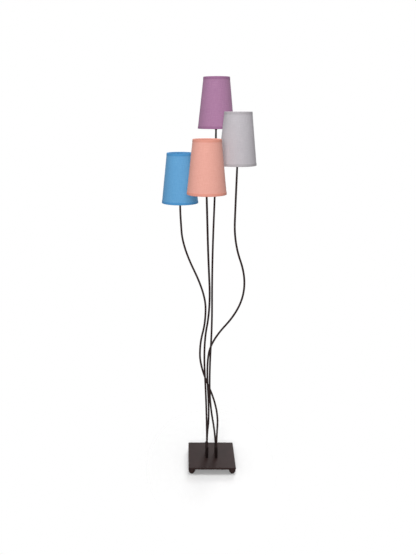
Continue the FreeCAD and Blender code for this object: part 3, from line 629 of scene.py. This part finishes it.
rib_tree, thread_tree, glass = ribs_round(), thread_round(), opal_glass()
empty = bpy.data.meshes.new("no_base")
for colour in COLOURS:
    low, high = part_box("lampholder_" + colour)
    ring_low, ring_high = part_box("shade_ring_" + colour)
    middle = Vector(((low.x + high.x) / 2, (low.y + high.y) / 2, 0))
    ribbed = (
        ("holder_ribs_", low.z, BARREL, BARREL_RIBS, BARREL_RIB_COUNT),
        ("ring_ribs_", ring_low.z, RING_COLLAR, RING_RIBS, RING_RIB_COUNT),
    )
    pieces = []
    for label, level, width, (start, end), count in ribbed:
        place = middle + Vector((0, 0, level + (start + end) / 2))
        pieces.append(grown(label + colour, rib_tree, empty, holder_white, Middle=place,
                            Radius=width / 2, Rib=RIB, Length=end - start, Count=count))
    start = ring_high.z + THREAD_PITCH / 2
    rise = high.z - THREAD_PITCH / 2 - start
    pieces.append(grown("holder_thread_" + colour, thread_tree, empty, holder_white,
                        Start=middle + Vector((0, 0, start)), Radius=HOLDER_THREAD / 2,
                        Turns=rise / THREAD_PITCH, Rise=rise, Ridge=THREAD_RIDGE))
    for piece in pieces:
        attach(piece, "head_" + colour)
    for name in ("lampholder_", "shade_ring_"):
        finish(name + colour, holder_white)
    finish("bulb_cap_" + colour, aluminium)
    finish("bulb_glass_" + colour, glass)


# ---------------------------------------------------------------------------- the shades
# Tapered drums: cotton laminated to a stiff white lining, cut as one curved piece and
# lapped at the back. A narrow strip of the same cloth is turned over the wire at each rim.

SHADE_TOP = 105 * MM
HEM_HEIGHT = 9 * MM
HEM_THICK = 0.5 * MM
CLOTH_THICK = 0.6 * MM
LINING_THICK = 0.5 * MM
LINING_GAP = 0.02 * MM
LAP = 11 * MM
LAP_RAMP = 3 * MM
# The wire stands just inside the shade's wall, which is cloth and lining together.
SHADE_WALL = 1.2 * MM
WIRE = 3 * MM
WIRE_CLEARANCE = 0.1 * MM
WIRE_INSET = HEM_THICK + SHADE_WALL + WIRE / 2 + WIRE_CLEARANCE
# The strip rounds the rim, rolls loosely round the wire and ends in a tail on the lining.
HEM_ROUND = 1.2 * MM
HEM_SLACK = 0.15 * MM
HEM_ROLL = 140
TAIL_START = 5 * MM
TAIL_FLAT = 6 * MM
TAIL_LIFT = 0.5 * MM
TAIL_SHORT = 0.4 * MM
ROUND_STEPS = 144
HEIGHT_STEPS = 28
# The rolled cloth is never quite round: it strays by this much over this length.
UNEVEN = 0.2 * MM
UNEVEN_LENGTH = 45 * MM
THREAD = 1.1 * MM
THREAD_DEPTH = 0.15 * MM
SLUB = 26 * MM
# How much of the cloth's colour is painted shade where a thread dips under the next; the rest is
# the slubs' own tone.
WEAVE_SHADE_IN_TONE = 0.25
SLUBS_IN_RELIEF = 0.4
# A wave texture of scale 1 repeats after this length.
WAVE_TEXTURE_PERIOD = math.tau / 20

# Each cloth, as it looks in plain light: its darker threads, its paler ones and the darker
# ones of its hem, with the angle of its lap, in degrees from the right.
CLOTHS = {
    "blue": ("#5796C7", "#6CAAD7", "#418BC3", 84),
    "salmon": ("#DD9C8E", "#EAAEA0", "#DC8F7C", 98),
    "purple": ("#9E7094", "#B185A6", "#93658A", 92),
    "grey": ("#B4B0B5", "#C5C1C6", "#ABA7AA", 80),
}


def woven_cotton(name, dark, pale):
    """Plain-woven cotton: threads over and under, some thicker than others, no gloss. Where
    a thread dips under the next, its colour is painted darker, as painted shade.

    The threads are drawn at 1.1 mm, about twice the real ones, so that they show.
    """
    material, tree, shader, places = surface(name)

    def mixed(share, first, second):
        inputs = {"Factor": share, "A": first, "B": second}
        return add(tree, "ShaderNodeMix", inputs).outputs[0]

    # Threads one way and the other, of which a checker brings one to the top at each
    # crossing.
    waves = []
    for direction in ("X", "Y"):
        inputs = {"Vector": places["UV"], "Scale": WAVE_TEXTURE_PERIOD / THREAD,
                  "Phase Offset": -math.pi / 2}
        wave = add(tree, "ShaderNodeTexWave", inputs, bands_direction=direction)
        waves.append(wave.outputs["Fac"])
    inputs = {"Vector": places["UV"], "Scale": 1 / THREAD}
    over = add(tree, "ShaderNodeTexChecker", inputs).outputs["Fac"]
    weave = mixed(over, *waves)
    # Slubs two threads wide, along either thread.
    slubs = []
    for stretch in ((0.5 / THREAD, 1 / SLUB, 1), (1 / SLUB, 0.5 / THREAD, 1)):
        inputs = {0: places["UV"], 1: stretch}
        run = add(tree, "ShaderNodeVectorMath", inputs, operation="MULTIPLY")
        slubs.append(speckle(tree, run.outputs[0], 1).outputs["Fac"])
    slubbed = mixed(0.5, *slubs)
    # The colour is mostly the slubs' own tone, and partly painted shade where the weave's threads
    # dip under.
    slubs_and_weave_shade = mixed(WEAVE_SHADE_IN_TONE, slubbed, weave)
    height = mixed(SLUBS_IN_RELIEF, weave, slubbed)
    inputs = {"Height": height, "Strength": 0.5, "Distance": THREAD_DEPTH}
    bump = add(tree, "ShaderNodeBump", inputs)
    tree.links.new(shade_between(tree, slubs_and_weave_shade, dark, pale), shader.inputs["Base Color"])
    tree.links.new(bump.outputs["Normal"], shader.inputs["Normal"])
    shader.inputs["Roughness"].default_value = 0.9
    shader.inputs["Specular IOR Level"].default_value = 0.15
    shader.inputs["Sheen Weight"].default_value = 0.08
    return material


def quads_over(name, columns, rows, point, flat, closed):
    """A sheet of quads over a grid of points, with the place of each on the flat cloth."""
    points = [point(i, j) for i in range(columns) for j in range(rows)]
    mesh = bpy.data.meshes.new(name)
    faces, corners = [], []
    for i in range(columns if closed else columns - 1):
        for j in range(rows - 1):
            quad = ((i, j), (i + 1, j), (i + 1, j + 1), (i, j + 1))
            faces.append([(a % columns) * rows + b for a, b in quad])
            corners += [flat(a, b) for a, b in quad]
    mesh.from_pydata(points, [], faces)
    layer = mesh.uv_layers.new(name="cloth")
    for corner, place in zip(layer.data, corners):
        corner.uv = place
    return mesh


def smooth_step(value):
    """Goes from 0 to 1, with no corner where it starts and ends."""
    value = min(max(value, 0), 1)
    return value * value * (3 - 2 * value)


class Drum:
    """Where one shade stands, its two radii, and how its cloth goes round it."""

    def __init__(self, colour, seam):
        low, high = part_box("shade_" + colour)
        self.middle = Vector(((low.x + high.x) / 2, (low.y + high.y) / 2, low.z))
        self.height = high.z - low.z
        self.low = (high.x - low.x) / 2
        self.high = SHADE_TOP / 2
        self.seam = math.radians(seam)
        self.lean = math.atan((self.low - self.high) / self.height)
        self.apex = self.low / math.sin(self.lean)

    def spot(self, angle, inset, height):
        """A point from its angle past the seam, its inset from the outline and its height."""
        turn = self.seam + angle
        radius = self.low + (self.high - self.low) * height / self.height - inset
        out = Vector((math.cos(turn), math.sin(turn), 0))
        place = self.middle + out * radius + Vector((0, 0, height))
        return place + out * UNEVEN * noise.noise(place / UNEVEN_LENGTH)

    def over_lap(self, angle):
        """How far the lapped end of the cloth lifts what lies over it."""
        across = (angle + math.pi) % math.tau - math.pi
        distance = across * (self.low + self.high) / 2
        rise = smooth_step(1 + distance / LAP_RAMP)
        edge = LAP_RAMP / 3
        fall = smooth_step((LAP + edge - distance) / edge)
        return CLOTH_THICK * rise * fall


def with_wall(name, mesh, material, wall):
    """A piece from a thin sheet, with its wall on the inside."""
    return hollowed(new_piece(name, mesh, material), wall)


def cloth_of(drum, name, material):
    """The cloth: a sector of a circle, rolled up until its end laps over its start."""
    lap = LAP / ((drum.low + drum.high) / 2)
    step = (math.tau + lap) / ROUND_STEPS
    ramp = LAP_RAMP / ((drum.low + drum.high) / 2)

    def point(i, j):
        angle = i * step
        lifted = CLOTH_THICK * smooth_step((angle - math.tau + ramp) / ramp)
        return drum.spot(angle, HEM_THICK - lifted, drum.height * j / HEIGHT_STEPS)

    def flat(i, j):
        out = drum.apex - drum.height * j / HEIGHT_STEPS / math.cos(drum.lean)
        turn = (i * step - math.pi) * math.sin(drum.lean)
        return out * math.sin(turn), drum.apex - out * math.cos(turn)

    mesh = quads_over(name, ROUND_STEPS + 1, HEIGHT_STEPS + 1, point, flat, False)
    return with_wall(name, mesh, material, CLOTH_THICK)


def hem_outline():
    """Inset and depth of the strip from its outer edge, round the wire, to its inner edge."""
    roll = WIRE / 2 + HEM_SLACK + HEM_THICK
    wire_depth = WIRE / 2
    top = wire_depth - roll + HEM_ROUND
    inside = WIRE_INSET - WIRE / 2 + HEM_THICK
    points = [(0, HEM_HEIGHT * share) for share in (1, 0.75, 0.5, 0.25)]
    for step in range(5):
        turn = math.radians(90 * step / 4)
        points.append((HEM_ROUND - HEM_ROUND * math.cos(turn), top - HEM_ROUND * math.sin(turn)))
    for step in range(9):
        turn = math.radians(-90 + HEM_ROLL * step / 8)
        points.append((WIRE_INSET + roll * math.cos(turn), wire_depth + roll * math.sin(turn)))
    tail = ((TAIL_LIFT, TAIL_START), (0, TAIL_FLAT), (0, HEM_HEIGHT - TAIL_SHORT))
    return points + [(inside + lift, depth) for lift, depth in tail]


def hem_of(drum, name, material, at_top):
    """A strip of cloth turned over one rim and its wire, straight grain along the rim."""
    outline = hem_outline()
    if not at_top:
        outline.reverse()
    along = [0]
    for (a, b), (c, d) in zip(outline, outline[1:]):
        along.append(along[-1] + math.hypot(c - a, d - b))
    rim = drum.high if at_top else drum.low

    def point(i, j):
        angle = math.tau * i / ROUND_STEPS
        inset, depth = outline[j]
        height = drum.height - depth if at_top else depth
        lifted = drum.over_lap(angle) if inset < HEM_THICK else 0
        return drum.spot(angle, inset - lifted, height)

    def flat(i, j):
        return rim * math.tau * i / ROUND_STEPS, along[j]

    mesh = quads_over(name, ROUND_STEPS, len(outline), point, flat, True)
    return with_wall(name, mesh, material, HEM_THICK)


def lining_of(drum, name, material):
    """The stiff film behind the cloth, bare on the inside."""

    def point(i, j):
        inset = HEM_THICK + CLOTH_THICK + LINING_GAP
        return drum.spot(math.tau * i / ROUND_STEPS, inset, drum.height * j / HEIGHT_STEPS)

    def flat(i, j):
        return drum.low * math.tau * i / ROUND_STEPS, drum.height * j / HEIGHT_STEPS

    mesh = quads_over(name, ROUND_STEPS, HEIGHT_STEPS + 1, point, flat, True)
    return with_wall(name, mesh, material, LINING_THICK)


lining = moulded("white_laminated_lining", "#EEEDE9", "#F4F3EF", 0.4, 0.5, 2 * MM)
for colour in COLOURS:
    dark, pale, hem_dark, seam = CLOTHS[colour]
    cotton = woven_cotton(colour + "_woven_cotton", dark, pale)
    strip = woven_cotton(colour + "_woven_cotton_strip", hem_dark, dark)
    drum = Drum(colour, seam)
    pieces = [
        cloth_of(drum, "shade_cloth_" + colour, cotton),
        hem_of(drum, "shade_hem_low_" + colour, strip, False),
        hem_of(drum, "shade_hem_high_" + colour, strip, True),
        lining_of(drum, "shade_lining_" + colour, lining),
    ]
    for piece in pieces:
        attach(piece, "head_" + colour)
        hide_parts("shade_" + colour)
    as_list(pieces[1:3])


# ---------------------------------------------------------------------- the shade frames
# A steel wire ring in each rim, three spokes and a flat carrier, welded and coated white.

white_coat = satin_powder_coat("white_satin_powder_coat", "#E2E0DB", "#ECEAE5")
for colour in COLOURS:
    finish("shade_frame_" + colour, white_coat)
